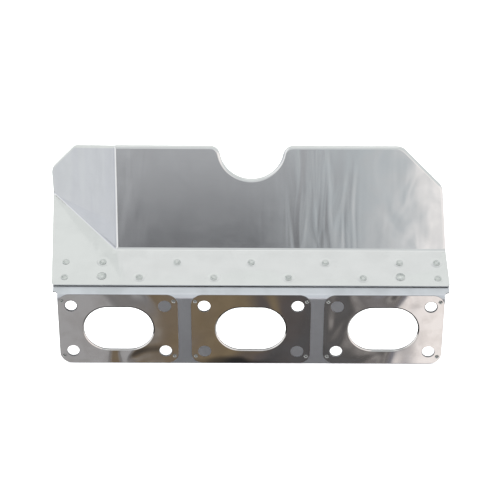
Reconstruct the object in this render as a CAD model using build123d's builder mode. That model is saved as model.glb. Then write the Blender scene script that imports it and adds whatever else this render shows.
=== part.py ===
from build123d import *
import os
from math import cos, radians, sin, tan

# Exhaust port gasket for a bank of three cylinders, with a folded sandwich heat shield
# riveted to its flange. All sizes are in millimetres.
#
# Frame: +X runs along the row of ports, +Z is up, +Y points into the cylinder head.
# The face that meets the head is the plane Y = 0 and the manifold comes from -Y.
# The origin is the centre of the middle port on the head face.

# ---------------------------------------------------------------- port row
port_pitch = 91.0
port_radius = 17.3
port_straight = 13.2
bolt_spacing_x = 64.0
bolt_spacing_z = 36.8
bolt_hole = 8.5
locating_hole = 7.9

# ---------------------------------------------------------------- port plates
plate_gauge = 0.4
plate_width = 82.0
plate_bottom = -28.2
front_plate_top = 27.6
plate_corner = 8.0
plate_hole = 9.0
bead_width = 1.0
bead_drop = 0.35

# ---------------------------------------------------------------- carrier sheet
carrier_gauge = 0.8
carrier_margin = 0.2
carrier_bottom = -28.7
carrier_corner = 8.5
carrier_port_clearance = 2.2
bend_start = 24.1
bend_outer_radius = 3.6
bend_angle = 74.2
bend_clearance = 0.15
flange_shoulder = 3.2
flange_end = 36.5
relief_radius = 2.4
relief_clearance = 0.2

# ---------------------------------------------------------------- plate corner rivets
corner_rivet_x = 38.2
corner_rivet_z = 22.4
corner_rivet_head = 2.6
corner_rivet_shank = 1.5
rivet_clearance = 0.05

# ---------------------------------------------------------------- shield sandwich
skin_gauge = 0.4
core_gauge = 0.8
lip_clearance = 0.1
strip_edge_radius = 0.8
rim_radius = 1.9
rim_depth = 2.4

# ---------------------------------------------------------------- shield strip
strip_free_edge = 8.4
strip_crease = 41.75
strip_left_overhang = 1.1
strip_right_overhang = 0.6
strip_corner_cut = 1.6

# ---------------------------------------------------------------- shield panel
panel_lean = 10.0
panel_height = 75.2
panel_right_base_inset = 0.6
panel_right_draft = 3.9
panel_cut_width = 28.7
panel_cut_height = 28.7
panel_corner = 8.0
notch_radius = 21.8
notch_drop = 2.0
notch_mouth_radius = 7.3

# ---------------------------------------------------------------- shield wing
ridge_from_left = 42.8
wing_turn = 45.5
wing_fold_length = 72.8
wing_shoulder_x = -44.8
wing_shoulder_height = 65.4
wing_outer_x = -71.6
wing_outer_height = 42.6
wing_corner = 8.0

# ---------------------------------------------------------------- strip rivets
rivet_end_margin = 7.3
lower_row = 15.4
upper_row = 29.7
upper_row_steps = (-2.5, -2, -1, 0, 1, 2, 2.5)
lower_row_steps = (-2.5, -1.5, -0.5, 0.5, 1.5, 2.5)
rivet_head = 4.9
rivet_ring = 3.9
rivet_rim_height = 0.3
rivet_dish = 0.4
rivet_throat_height = 0.1
rivet_wall = 0.5
rivet_shank = 3.2
rivet_tail = 4.4
rivet_tail_height = 0.5

button_steps = (-2, 2)
button_row = 16.6
button_head = 6.3
button_height = 1.2
button_edge = 0.2
button_shank = 3.2
button_tail = 5.2
button_tail_height = 0.6

# ---------------------------------------------------------------- derived places
through = 12.0
overrun = 8.0
far = 400.0
rear_plate_y = -plate_gauge
carrier_front_y = rear_plate_y - carrier_gauge
front_plate_y = carrier_front_y - plate_gauge
rear_plate_top = bend_start - bend_clearance
sandwich = 2 * skin_gauge + core_gauge
relief_back = rear_plate_y + relief_radius + relief_clearance
port_columns = [-port_pitch, 0, port_pitch]
plate_corners = [(-1, 1), (1, 1), (-1, -1), (1, -1)]
carrier_half_width = port_pitch + plate_width / 2 + carrier_margin
flange_half_width = carrier_half_width + flange_shoulder
strip_left = -flange_half_width - strip_left_overhang
strip_right = flange_half_width + strip_right_overhang
panel_right_base = strip_right - panel_right_base_inset
panel_right_top = panel_right_base - panel_right_draft
ridge_x = strip_left + ridge_from_left
rivet_pitch = (flange_half_width - rivet_end_margin) / max(upper_row_steps)

outer_bolt_x = port_pitch + bolt_spacing_x / 2
inner_bolt_x = port_pitch - bolt_spacing_x / 2
middle_bolt_x = bolt_spacing_x / 2
upper_z = bolt_spacing_z / 2
lower_z = -bolt_spacing_z / 2
locating_points = [(-outer_bolt_x, upper_z), (outer_bolt_x, upper_z)]
bolt_points = [
    (-outer_bolt_x, lower_z),
    (outer_bolt_x, lower_z),
    (-inner_bolt_x, lower_z),
    (inner_bolt_x, lower_z),
    (-middle_bolt_x, upper_z),
    (middle_bolt_x, upper_z),
]

dished_points = [(rivet_pitch * step, upper_row) for step in upper_row_steps]
dished_points += [(rivet_pitch * step, lower_row) for step in lower_row_steps]
button_points = [(rivet_pitch * step, button_row) for step in button_steps]

# Planes of the folded sheets. Local X is along the row, or turned back with the wing,
# local Y runs up the sheet and local Z is its outward normal.
bend_setback = bend_outer_radius * tan(radians(bend_angle) / 2)
bend_apex = bend_start + bend_setback
flange_length = flange_end - bend_setback
flange_normal = Vector(0, -cos(radians(bend_angle)), sin(radians(bend_angle)))
flange_plane = Plane((0, carrier_front_y, bend_apex), (1, 0, 0), flange_normal)
strip_plane = flange_plane.offset(sandwich)
crease_point = strip_plane.from_local_coords(Vector(0, strip_crease, 0))
panel_normal = Vector(0, -cos(radians(panel_lean)), sin(radians(panel_lean)))
panel_plane = Plane(crease_point, (1, 0, 0), panel_normal)
ridge_point = panel_plane.from_local_coords(Vector(ridge_x, 0, 0))
row_axis = Vector(1, 0, 0)
turn = radians(wing_turn)
wing_across = row_axis * cos(turn) + panel_normal * sin(turn)
wing_normal = panel_normal * cos(turn) - row_axis * sin(turn)
wing_plane = Plane(ridge_point, wing_across, wing_normal)

# The planes that halve each fold, where neighbouring panels meet.
crease_mitre = Plane(crease_point, z_dir=strip_plane.z_dir - panel_plane.z_dir)
ridge_mitre = Plane(ridge_point, z_dir=wing_plane.z_dir - panel_plane.z_dir)
diagonal_mitre = Plane(ridge_point, z_dir=strip_plane.z_dir - wing_plane.z_dir)

# Outer end of the diagonal valley between the strip and the wing.
diagonal_direction = strip_plane.z_dir.cross(wing_plane.z_dir).normalized()
diagonal_end = ridge_point + diagonal_direction * wing_fold_length
if diagonal_end.X > ridge_point.X:
    diagonal_end = ridge_point - diagonal_direction * wing_fold_length
strip_outer_corner = strip_plane.to_local_coords(diagonal_end)
wing_outer_corner = wing_plane.to_local_coords(diagonal_end)


def extended(inner, outer, distance):
    """Point past outer, by distance, on the line from inner through outer."""
    direction = (Vector(outer) - Vector(inner)).normalized()
    return Vector(outer) + direction * distance


def port_funnel(wide_y, narrow_y, x):
    """Solid that narrows from the bead's outer line at wide_y to the port at narrow_y."""
    with BuildPart() as funnel:
        with BuildSketch(Plane.XZ.offset(-wide_y)):
            with Locations((x, 0)):
                SlotCenterToCenter(port_straight, 2 * (port_radius + bead_width))
        with BuildSketch(Plane.XZ.offset(-narrow_y)):
            with Locations((x, 0)):
                SlotCenterToCenter(port_straight, 2 * port_radius)
        loft(ruled=True)
    return funnel.part


def countersink(centre, wide_y, narrow_y, clearance):
    """Cone from a corner rivet's head at wide_y down to its shank at narrow_y."""
    with BuildPart() as cone:
        with BuildSketch(Plane.XZ.offset(-wide_y)):
            with Locations(centre):
                Circle(corner_rivet_head / 2 + clearance)
        with BuildSketch(Plane.XZ.offset(-narrow_y)):
            with Locations(centre):
                Circle(corner_rivet_shank / 2 + clearance)
        loft()
    return cone.part


def port_plate(x, outer_y, inner_y, top):
    """Thin plate round one port, whose bead slopes towards the middle of the carrier."""
    toward_middle = bead_drop if inner_y > outer_y else -bead_drop
    cut = port_funnel(outer_y, outer_y + toward_middle, x)
    bead = port_funnel(inner_y, inner_y + toward_middle, x)
    middle_z = (top + plate_bottom) / 2
    with BuildPart() as plate:
        with BuildSketch(Plane.XZ.offset(-outer_y)):
            with Locations((x, middle_z)):
                RectangleRounded(plate_width, top - plate_bottom, plate_corner)
        extrude(amount=outer_y - inner_y)
        add(bead)
        add(cut, mode=Mode.SUBTRACT)
        with BuildSketch(Plane.XZ):
            with Locations((x, 0)):
                SlotCenterToCenter(port_straight, 2 * port_radius)
                with GridLocations(bolt_spacing_x, bolt_spacing_z, 2, 2):
                    Circle(plate_hole / 2)
        extrude(amount=through, both=True, mode=Mode.SUBTRACT)
        for side, level in plate_corners:
            centre = (x + side * corner_rivet_x, level * corner_rivet_z)
            sink = countersink(centre, outer_y, inner_y, rivet_clearance)
            add(sink, mode=Mode.SUBTRACT)
    return plate.part


def strip_outline():
    """Strip and the triangle left of the ridge, run on past the folds."""
    corner = (strip_outer_corner.X, strip_outer_corner.Y)
    left_end = extended((strip_left, strip_free_edge), corner, overrun)
    right_end = extended((strip_right, strip_free_edge), (panel_right_base, strip_crease), overrun)
    with BuildSketch() as outline:
        with BuildLine():
            Polyline(
                (strip_left + strip_corner_cut, strip_free_edge),
                (strip_right - strip_corner_cut, strip_free_edge),
                (strip_right, strip_free_edge + strip_corner_cut),
                (right_end.X, right_end.Y),
                (ridge_x + overrun, strip_crease + overrun),
                (strip_outer_corner.X + overrun, strip_outer_corner.Y + overrun),
                (left_end.X, left_end.Y),
                (strip_left, strip_free_edge + strip_corner_cut),
                close=True,
            )
        make_face()
    return outline.sketch


def panel_outline():
    """Main panel with its round notch and cut corner, run on past the folds."""
    right_cut = panel_height - panel_cut_height
    cut_start = panel_right_top - panel_cut_width
    right_base = extended((panel_right_top, right_cut), (panel_right_base, 0), overrun)
    notch_centre = panel_height - notch_drop
    with BuildSketch() as outline:
        with BuildLine():
            Polyline(
                (ridge_x - overrun, -overrun),
                (right_base.X, right_base.Y),
                (panel_right_top, right_cut),
                (cut_start, panel_height),
                (ridge_x - overrun, panel_height),
                close=True,
            )
        make_face()
        cut_corners = [v for v in outline.vertices() if v.X > cut_start - 1 and v.Y > 1]
        fillet(cut_corners, panel_corner)
        with Locations((0, notch_centre)):
            Circle(notch_radius, mode=Mode.SUBTRACT)
        mouth = [v for v in outline.vertices() if abs(v.X) < notch_radius + 1 and v.Y > notch_centre + 1]
        fillet(mouth, notch_mouth_radius)
    return outline.sketch


def wing_outline():
    """Wing that falls back left of the ridge, run on past the folds."""
    corner = (wing_outer_corner.X, wing_outer_corner.Y)
    inner_top = extended((wing_shoulder_x, wing_shoulder_height), (0, panel_height), overrun)
    outer_base = extended((wing_outer_x, wing_outer_height), corner, overrun)
    with BuildSketch() as outline:
        with BuildLine():
            Polyline(
                (overrun, -overrun),
                (inner_top.X, inner_top.Y),
                (wing_shoulder_x, wing_shoulder_height),
                (wing_outer_x, wing_outer_height),
                (outer_base.X, outer_base.Y),
                close=True,
            )
        make_face()
        outer_corners = [
            v for v in outline.vertices() if v.X < wing_shoulder_x + 1 and v.Y > wing_outer_height - 1
        ]
        fillet(outer_corners, wing_corner)
    return outline.sketch


def sheet_block(outline, plane, front, back, inset, edge_radius):
    """Slab between two depths under a panel's face, inset from its outline.

    The edge between its face and its sides is rounded with edge_radius."""
    with BuildPart() as block:
        with BuildSketch(plane.offset(-back)):
            add(outline)
            if inset > 0:
                offset(amount=-inset, mode=Mode.REPLACE)
        extrude(amount=back - front)
        if edge_radius > 0:
            face = block.faces().sort_by(Axis(plane.origin, plane.z_dir))[-1]
            fillet(face.edges(), edge_radius)
    return block.part


def folded(front, strip_back, rim_back, inset, strip_radius, panel_radius):
    """Strip, panel and wing as one folded slab, mitred along its three folds."""
    strip = sheet_block(strip_outline(), strip_plane, front, strip_back, inset, strip_radius)
    panel = sheet_block(panel_outline(), panel_plane, front, rim_back, inset, panel_radius)
    wing = sheet_block(wing_outline(), wing_plane, front, rim_back, inset, panel_radius)
    with BuildPart() as beyond_folds:
        Box(far, far, far)
        split(bisect_by=crease_mitre, keep=Keep.TOP)
        split(bisect_by=diagonal_mitre, keep=Keep.TOP)
    with BuildPart() as strip_piece:
        add(strip)
        add(beyond_folds.part, mode=Mode.SUBTRACT)
    with BuildPart() as panel_piece:
        add(panel)
        split(bisect_by=crease_mitre, keep=Keep.TOP)
        split(bisect_by=ridge_mitre, keep=Keep.BOTTOM)
    with BuildPart() as wing_piece:
        add(wing)
        split(bisect_by=diagonal_mitre, keep=Keep.TOP)
        split(bisect_by=ridge_mitre, keep=Keep.TOP)
    with BuildPart() as whole:
        add(strip_piece.part)
        add(panel_piece.part)
        add(wing_piece.part)
    return whole.part


def rivet_hole_pins():
    """Round pins that cut the strip rivets' clearance holes."""
    with BuildPart() as pins:
        with BuildSketch(strip_plane):
            with Locations(*dished_points):
                Circle(rivet_shank / 2 + rivet_clearance)
            with Locations(*button_points):
                Circle(button_shank / 2 + rivet_clearance)
        extrude(amount=through, both=True)
    return pins.part


def dished_rivet(point):
    """Hollow rivet whose head is a shallow dish with a raised rim."""
    place = Plane(strip_plane.from_local_coords(Vector(*point, 0)), (1, 0, 0), strip_plane.z_dir)
    grip = sandwich + carrier_gauge
    rim = rivet_head / 2
    with BuildPart() as rivet:
        with BuildSketch(Plane(place.origin, place.x_dir, place.y_dir * -1)):
            with BuildLine():
                Polyline(
                    (0, -rivet_dish),
                    (rivet_shank / 2 - rivet_wall, -rivet_dish),
                    (rivet_shank / 2, rivet_throat_height),
                    (rivet_ring / 2, rivet_rim_height),
                    (rim - rivet_rim_height / 2, rivet_rim_height),
                    (rim, rivet_rim_height / 2),
                    (rim, 0),
                    (rivet_shank / 2, 0),
                    (rivet_shank / 2, -grip),
                    (rivet_tail / 2, -grip),
                    (rivet_tail / 2 - rivet_tail_height / 3, -grip - rivet_tail_height),
                    (0, -grip - rivet_tail_height),
                    close=True,
                )
            make_face()
        revolve(axis=Axis(place.origin, place.z_dir))
    return rivet.part


def button_rivet(point):
    """Solid rivet with a round domed head."""
    place = Plane(strip_plane.from_local_coords(Vector(*point, 0)), (1, 0, 0), strip_plane.z_dir)
    grip = sandwich + carrier_gauge
    with BuildPart() as rivet:
        with BuildSketch(Plane(place.origin, place.x_dir, place.y_dir * -1)):
            with BuildLine():
                dome = TangentArc((0, button_height), (button_head / 2, button_edge), tangent=(1, 0))
                Polyline(
                    dome @ 1,
                    (button_head / 2, 0),
                    (button_shank / 2, 0),
                    (button_shank / 2, -grip),
                    (button_tail / 2, -grip),
                    (button_tail / 2 - button_tail_height / 3, -grip - button_tail_height),
                    (0, -grip - button_tail_height),
                    dome @ 0,
                )
            make_face()
        revolve(axis=Axis(place.origin, place.z_dir))
    return rivet.part


def corner_rivet(x, z):
    """Small rivet through both plates and the carrier, countersunk flush on both faces."""
    with BuildPart() as rivet:
        add(countersink((x, z), front_plate_y, carrier_front_y, 0))
        with BuildSketch(Plane.XZ.offset(-carrier_front_y)):
            with Locations((x, z)):
                Circle(corner_rivet_shank / 2)
        extrude(amount=carrier_front_y - rear_plate_y)
        add(countersink((x, z), 0, rear_plate_y, 0))
    return rivet.part


def save(part, name):
    """Labels a finished piece and writes it as one STEP file."""
    part.label = name
    export_step(part, f"parts/{name}.step")


os.makedirs("parts", exist_ok=True)
rivet_holes = rivet_hole_pins()

# ---------------------------------------------------------------- carrier sheet
# One sheet, bent back over the head above the ports into the flange for the shield.
with BuildPart() as carrier:
    with BuildSketch(Plane.YZ):
        with BuildLine():
            upright = Line((carrier_front_y, carrier_bottom), (carrier_front_y, bend_start))
            outer_bend = JernArc(upright @ 1, upright % 1, bend_outer_radius, -bend_angle)
            along = outer_bend % 1
            down = Vector(along.Y, -along.X)
            top = Line(outer_bend @ 1, outer_bend @ 1 + along * flange_length)
            end = Line(top @ 1, top @ 1 + down * carrier_gauge)
            under = Line(end @ 1, outer_bend @ 1 + down * carrier_gauge)
            inner_radius = bend_outer_radius - carrier_gauge
            inner_bend = JernArc(under @ 1, along * -1, inner_radius, bend_angle)
            back = Line(inner_bend @ 1, (rear_plate_y, carrier_bottom))
            Line(back @ 1, upright @ 0)
        make_face()
    extrude(amount=flange_half_width, both=True)
    shoulder = flange_half_width - carrier_half_width
    with BuildSketch(Plane.XY):
        for side in (-1, 1):
            with Locations((side * (carrier_half_width + shoulder), relief_back - through)):
                Rectangle(2 * shoulder, 2 * through)
        relief_corners = [v for v in vertices() if v.Y > 0 and abs(v.X) < flange_half_width]
        fillet(relief_corners, relief_radius)
    extrude(amount=far / 2, both=True, mode=Mode.SUBTRACT)
    bottom_edges = carrier.edges().filter_by(Axis.Y).group_by(Axis.Z)[0]
    fillet(bottom_edges, carrier_corner)
    with BuildSketch(Plane.XZ):
        for x in port_columns:
            with Locations((x, 0)):
                SlotCenterToCenter(port_straight, 2 * (port_radius + carrier_port_clearance))
                with GridLocations(2 * corner_rivet_x, 2 * corner_rivet_z, 2, 2):
                    Circle(corner_rivet_shank / 2 + rivet_clearance)
        with Locations(*bolt_points):
            Circle(bolt_hole / 2)
        with Locations(*locating_points):
            Circle(locating_hole / 2)
    extrude(amount=bend_outer_radius, both=True, mode=Mode.SUBTRACT)
    add(rivet_holes, mode=Mode.SUBTRACT)
save(carrier.part, "carrier_sheet")

# ---------------------------------------------------------------- port plates and their rivets
for number, column in enumerate(port_columns, start=1):
    save(
        port_plate(column, front_plate_y, carrier_front_y, front_plate_top),
        f"front_port_plate_{number}",
    )
    save(port_plate(column, 0, rear_plate_y, rear_plate_top), f"rear_port_plate_{number}")
    for corner, (side, level) in enumerate(plate_corners, start=1):
        rivet = corner_rivet(column + side * corner_rivet_x, level * corner_rivet_z)
        save(rivet, f"plate_rivet_{number}_{corner}")

# ---------------------------------------------------------------- heat shield sandwich
# The front skin's edge is rolled back round the core and the back skin.
skin_body = folded(0, sandwich, rim_depth, 0, strip_edge_radius, rim_radius)
skin_hollow = folded(
    skin_gauge,
    sandwich + through,
    rim_depth + through,
    skin_gauge,
    strip_edge_radius - skin_gauge,
    rim_radius - skin_gauge,
)
with BuildPart() as front_skin:
    add(skin_body)
    add(skin_hollow, mode=Mode.SUBTRACT)
    add(rivet_holes, mode=Mode.SUBTRACT)
save(front_skin.part, "shield_front_skin")

core_back = skin_gauge + core_gauge
with BuildPart() as core:
    add(folded(skin_gauge, core_back, core_back, rim_radius + lip_clearance, 0, 0))
    add(rivet_holes, mode=Mode.SUBTRACT)
save(core.part, "shield_insulation_core")

back_skin_inset = skin_gauge + 3 * lip_clearance
with BuildPart() as back_skin:
    add(folded(core_back, sandwich, sandwich, back_skin_inset, 0, 0))
    add(rivet_holes, mode=Mode.SUBTRACT)
save(back_skin.part, "shield_back_skin")

# ---------------------------------------------------------------- strip rivets
for number, point in enumerate(dished_points, start=1):
    save(dished_rivet(point), f"strip_rivet_{number:02d}")
for number, point in enumerate(button_points, start=1):
    save(button_rivet(point), f"button_rivet_{number}")
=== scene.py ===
"""Looks of an exhaust port gasket with a folded sandwich heat shield.

Every size in a class below is in millimetres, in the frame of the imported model: X runs
along the row of ports, Y points into the cylinder head and Z is up. Meshes are written in
metres. The origin is the centre of the middle port on the head face.
"""

import logging
import math
from dataclasses import dataclass
from enum import Enum
from typing import Any, Sequence

import bmesh
import bpy
from mathutils import Matrix, Vector


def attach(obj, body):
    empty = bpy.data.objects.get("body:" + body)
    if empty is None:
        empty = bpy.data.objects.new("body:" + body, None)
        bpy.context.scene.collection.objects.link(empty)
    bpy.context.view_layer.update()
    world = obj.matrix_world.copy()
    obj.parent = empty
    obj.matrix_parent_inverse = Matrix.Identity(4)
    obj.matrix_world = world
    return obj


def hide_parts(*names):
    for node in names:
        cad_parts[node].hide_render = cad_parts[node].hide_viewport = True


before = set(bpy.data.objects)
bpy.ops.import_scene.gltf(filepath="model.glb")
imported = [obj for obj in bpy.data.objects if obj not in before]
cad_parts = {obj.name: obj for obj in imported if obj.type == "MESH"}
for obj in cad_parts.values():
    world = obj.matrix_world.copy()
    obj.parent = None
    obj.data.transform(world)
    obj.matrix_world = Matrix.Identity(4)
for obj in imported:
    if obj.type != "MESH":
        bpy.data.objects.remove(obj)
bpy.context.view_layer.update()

MM = 0.001
BODY = "root"
ARC_STEP = math.radians(6)
MERGE = 1e-6
JOIN = 20 * MERGE

# A face lies in a sheet's plane within this many mm, and within this cosine of its normal.
LEVEL = 0.01
ALIGNED = 0.9999

BURR_SEGMENTS = 2
BURR_ANGLE = math.radians(50)

# Place of each shade from -1 to 1, with its hex colour.
Shades = tuple[tuple[float, str], ...]

log = logging.getLogger("port_gasket")


class Slot(Enum):
    """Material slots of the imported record."""

    CARRIER = "carrier_steel"
    PLATE = "plate_steel"
    RIVET = "rivet_steel"
    SHIELD = "shield_steel"
    SHIELD_BACK = "shield_back_steel"
    FELT = "insulation"


# ------------------------------------------------------------------ shared helpers


def linear(code: str) -> tuple[float, float, float, float]:
    """Turns an sRGB colour into the linear one that shaders take.

    Args:
        code: Six hex digits, red first.

    Returns:
        Linear red, green, blue and an alpha of 1.
    """
    channels = [int(code[i : i + 2], 16) / 255 for i in (0, 2, 4)]
    decoded = [c / 12.92 if c <= 0.04045 else ((c + 0.055) / 1.055) ** 2.4 for c in channels]
    return (*decoded, 1.0)


def add(tree: bpy.types.NodeTree, kind: str, links: dict[Any, Any], **settings: Any) -> Any:
    """Adds one node with its settings, and fills its input sockets.

    Args:
        tree: Node tree that gets the node.
        kind: Blender's type name of the node.
        links: Input socket names or numbers, each with a value or an output socket.
        settings: Properties of the node, such as its operation.

    Returns:
        The new node.
    """
    made = tree.nodes.new(kind)
    for name, value in settings.items():
        setattr(made, name, value)
    for socket, value in links.items():
        if isinstance(value, bpy.types.NodeSocket):
            tree.links.new(value, made.inputs[socket])
        else:
            made.inputs[socket].default_value = value
    return made


def stops(ramp: Any, points: Sequence[tuple[float, Any]]) -> Any:
    """Sets the stops of a colour ramp node.

    Args:
        ramp: The colour ramp node.
        points: Place of each stop from 0 to 1, with a hex colour or a grey level.

    Returns:
        The ramp's colour output.
    """
    elements = ramp.color_ramp.elements
    while len(elements) < len(points):
        elements.new(1.0)
    for element, (place, colour) in zip(elements, points):
        element.position = place
        element.color = linear(colour) if isinstance(colour, str) else (*[colour] * 3, 1.0)
    return ramp.outputs["Color"]


def smooth(share: float) -> float:
    """Eases a share from 0 to 1 in and out."""
    return share * share * (3 - 2 * share)


@dataclass(frozen=True)
class Sheet:
    """A flat place in space, with local X and Y in the face and Z out of it, in mm."""

    origin: Vector
    across: Vector
    normal: Vector

    @property
    def up(self) -> Vector:
        """Local Y, up the face."""
        return self.normal.cross(self.across)

    def at(self, x: float, y: float, height: float = 0.0) -> Vector:
        """Point in metres at local x and y, at a height over the face, all in mm."""
        return (self.origin + self.across * x + self.up * y + self.normal * height) * MM

    def height_of(self, point: Vector) -> float:
        """Height in mm of a point in metres over the face."""
        return (point / MM - self.origin).dot(self.normal)

    def local(self, point: Vector) -> tuple[float, float]:
        """Local X and Y in mm of a point in metres."""
        away = point / MM - self.origin
        return (away.dot(self.across), away.dot(self.up))

    def raised(self, height: float) -> "Sheet":
        """The same place moved out along its normal."""
        return Sheet(self.origin + self.normal * height, self.across, self.normal)


class Wire:
    """An open or closed line of edges drawn on a sheet by extruding and spinning its end."""

    def __init__(self, bm: bmesh.types.BMesh, sheet: Sheet, x: float, y: float) -> None:
        """Starts the line.

        Args:
            bm: Mesh that gets the edges.
            sheet: Place that the line lies on.
            x: Local X of the start, in mm.
            y: Local Y of the start, in mm.
        """
        self.bm = bm
        self.sheet = sheet
        self.first = bm.verts.new(sheet.at(x, y))
        self.last = self.first
        self.edges: list[bmesh.types.BMEdge] = []

    def line(self, *points: tuple[float, float]) -> "Wire":
        """Runs straight on through local points.

        Args:
            points: Local X and Y of each next point, in mm.

        Returns:
            The wire itself.
        """
        for x, y in points:
            grown = bmesh.ops.extrude_vert_indiv(self.bm, verts=[self.last])
            self.last = grown["verts"][0]
            self.last.co = self.sheet.at(x, y)
            self.edges += grown["edges"]
        return self

    def arc(self, x: float, y: float, turn: float) -> "Wire":
        """Runs on round a centre.

        Args:
            x: Local X of the centre, in mm.
            y: Local Y of the centre, in mm.
            turn: Angle turned through in degrees, positive to the left.

        Returns:
            The wire itself.
        """
        before = set(self.bm.edges)
        grown = bmesh.ops.spin(
            self.bm,
            geom=[self.last],
            cent=self.sheet.at(x, y),
            axis=self.sheet.normal,
            angle=math.radians(turn),
            steps=max(3, round(math.radians(abs(turn)) / ARC_STEP)),
        )
        self.edges += [e for e in self.bm.edges if e not in before]
        self.last = next(v for v in grown["geom_last"] if isinstance(v, bmesh.types.BMVert))
        return self

    def close(self) -> list[bmesh.types.BMEdge]:
        """Joins the end to the start, and returns all the edges."""
        self.edges.append(self.bm.edges.new((self.last, self.first)))
        return self.edges


def stadium(
    bm: bmesh.types.BMesh, sheet: Sheet, x: float, straight: float, radius: float
) -> list[bmesh.types.BMEdge]:
    """Draws a port's outline: two half circles joined by straight sides.

    Args:
        bm: Mesh that gets the edges.
        sheet: Place that it lies on.
        x: Local X of its middle, in mm.
        straight: Distance between the half circles' centres, in mm.
        radius: Radius of the half circles, in mm.

    Returns:
        The edges of the closed outline.
    """
    half = straight / 2
    wire = Wire(bm, sheet, x + half, -radius).arc(x + half, 0, 180)
    return wire.line((x - half, radius)).arc(x - half, 0, 180).close()


def ring(
    bm: bmesh.types.BMesh, sheet: Sheet, x: float, y: float, radius: float, segments: int
) -> list[bmesh.types.BMEdge]:
    """Draws a circle of edges.

    Args:
        bm: Mesh that gets the edges.
        sheet: Place that it lies on.
        x: Local X of its centre, in mm.
        y: Local Y of its centre, in mm.
        radius: Its radius, in mm.
        segments: Number of edges.

    Returns:
        The edges of the circle.
    """
    columns = (sheet.across, sheet.up, sheet.normal)
    turn = Matrix(columns).transposed().to_4x4()
    place = Matrix.Translation(sheet.at(x, y)) @ turn
    made = bmesh.ops.create_circle(bm, segments=segments, radius=radius * MM, matrix=place)
    return list({e for v in made["verts"] for e in v.link_edges})


def extruded(
    bm: bmesh.types.BMesh, edges: Sequence[bmesh.types.BMEdge]
) -> tuple[list[bmesh.types.BMEdge], list[bmesh.types.BMVert]]:
    """Extrudes open edges into a band of faces.

    Args:
        bm: Mesh that holds them.
        edges: The open edges.

    Returns:
        The band's far edges and their vertices, still in place.
    """
    grown = bmesh.ops.extrude_edge_only(bm, edges=edges)["geom"]
    verts = [v for v in grown if isinstance(v, bmesh.types.BMVert)]
    far = [e for e in grown if isinstance(e, bmesh.types.BMEdge) and len(e.link_faces) == 1]
    return far, verts


def turn_out(bm: bmesh.types.BMesh, way: Vector) -> None:
    """Gives an open sheet's faces one side, and turns that side towards a direction.

    Args:
        bm: Mesh of the sheet.
        way: Direction that its outer face looks in.
    """
    bmesh.ops.recalc_face_normals(bm, faces=bm.faces)
    if sum(face.normal.dot(way) * face.calc_area() for face in bm.faces) < 0:
        bmesh.ops.reverse_faces(bm, faces=bm.faces)
    bm.normal_update()


def meshed(name: str, bm: bmesh.types.BMesh) -> bpy.types.Mesh:
    """Turns an edited mesh, which it frees, into mesh data."""
    mesh = bpy.data.meshes.new(name)
    bm.to_mesh(mesh)
    bm.free()
    return mesh


def put(name: str, data: Any) -> bpy.types.Object:
    """Puts a new object with its data into the scene."""
    made = bpy.data.objects.new(name, data)
    bpy.context.scene.collection.objects.link(made)
    return made


def started(name: str) -> tuple[bpy.types.Material, bpy.types.NodeTree, Any]:
    """Starts a material, and returns it with its node tree and its shader."""
    made = bpy.data.materials.new(name)
    made.use_nodes = True
    return made, made.node_tree, made.node_tree.nodes["Principled BSDF"]


def piece(name: str, bm: bmesh.types.BMesh, material: Any) -> bpy.types.Object:
    """Turns a finished mesh into an object that stands for the CAD node of its name.

    Args:
        name: Name of the CAD node.
        bm: The mesh, in the row frame. It is freed.
        material: Finish of the piece.

    Returns:
        The new object, which rides on the body.
    """
    mesh = meshed(name, bm)
    mesh.shade_smooth()
    made = put(f"{name}_finished", mesh)
    mesh.materials.append(material)
    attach(made, BODY)
    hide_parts(name)
    log.info("%s: %d faces", name, len(mesh.polygons))
    return made


def thicken(made: bpy.types.Object, gauge: float, edge: float, cut_edge_and_shade: Any) -> None:
    """Gives a sheet its thickness behind its face, and takes the sharpness off its edges.

    Args:
        made: The sheet's object, whose mesh is its outer face.
        gauge: Thickness of the sheet, in mm.
        edge: Width of the small round left on its cut edges, in mm.
        cut_edge_and_shade: Finish of its cut edges, whose dark grey is mostly painted shade.
    """
    made.data.materials.append(cut_edge_and_shade)
    wall = made.modifiers.new("gauge", "SOLIDIFY")
    wall.thickness = gauge * MM
    wall.offset = -1
    wall.use_even_offset = True
    # The rim faces take the cut-edge finish, whose dark grey is mostly painted shade.
    wall.material_offset_rim = 1
    if edge > 0:
        burr = made.modifiers.new("deburred edge", "BEVEL")
        burr.width = edge * MM
        burr.segments = BURR_SEGMENTS
        burr.limit_method = "ANGLE"
        burr.angle_limit = BURR_ANGLE
        burr.use_clamp_overlap = True
        burr.harden_normals = False
    flat = made.modifiers.new("flat faces stay flat", "WEIGHTED_NORMAL")
    flat.keep_sharp = False


# ------------------------------------------------------------------ sizes shared by the pieces


@dataclass(frozen=True)
class PortRow:
    """The row of ports and the holes round them."""

    pitch: float = 91.0
    radius: float = 17.3
    straight: float = 13.2
    bolt_x: float = 32.0
    bolt_z: float = 18.4
    bolt_hole: float = 8.5
    locating_hole: float = 7.9
    plate_hole: float = 9.0
    corner_x: float = 38.2
    corner_z: float = 22.4

    @property
    def columns(self) -> tuple[float, float, float]:
        """X of the three ports."""
        return (-self.pitch, 0.0, self.pitch)

    @property
    def open_holes(self) -> list[tuple[float, float, float]]:
        """X, Z and diameter of each hole in the carrier."""
        outer, inner = self.pitch + self.bolt_x, self.pitch - self.bolt_x
        holes = [(side * outer, self.bolt_z, self.locating_hole) for side in (-1, 1)]
        for side in (-1, 1):
            holes.append((side * outer, -self.bolt_z, self.bolt_hole))
            holes.append((side * inner, -self.bolt_z, self.bolt_hole))
            holes.append((side * self.bolt_x, self.bolt_z, self.bolt_hole))
        return holes


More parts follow.
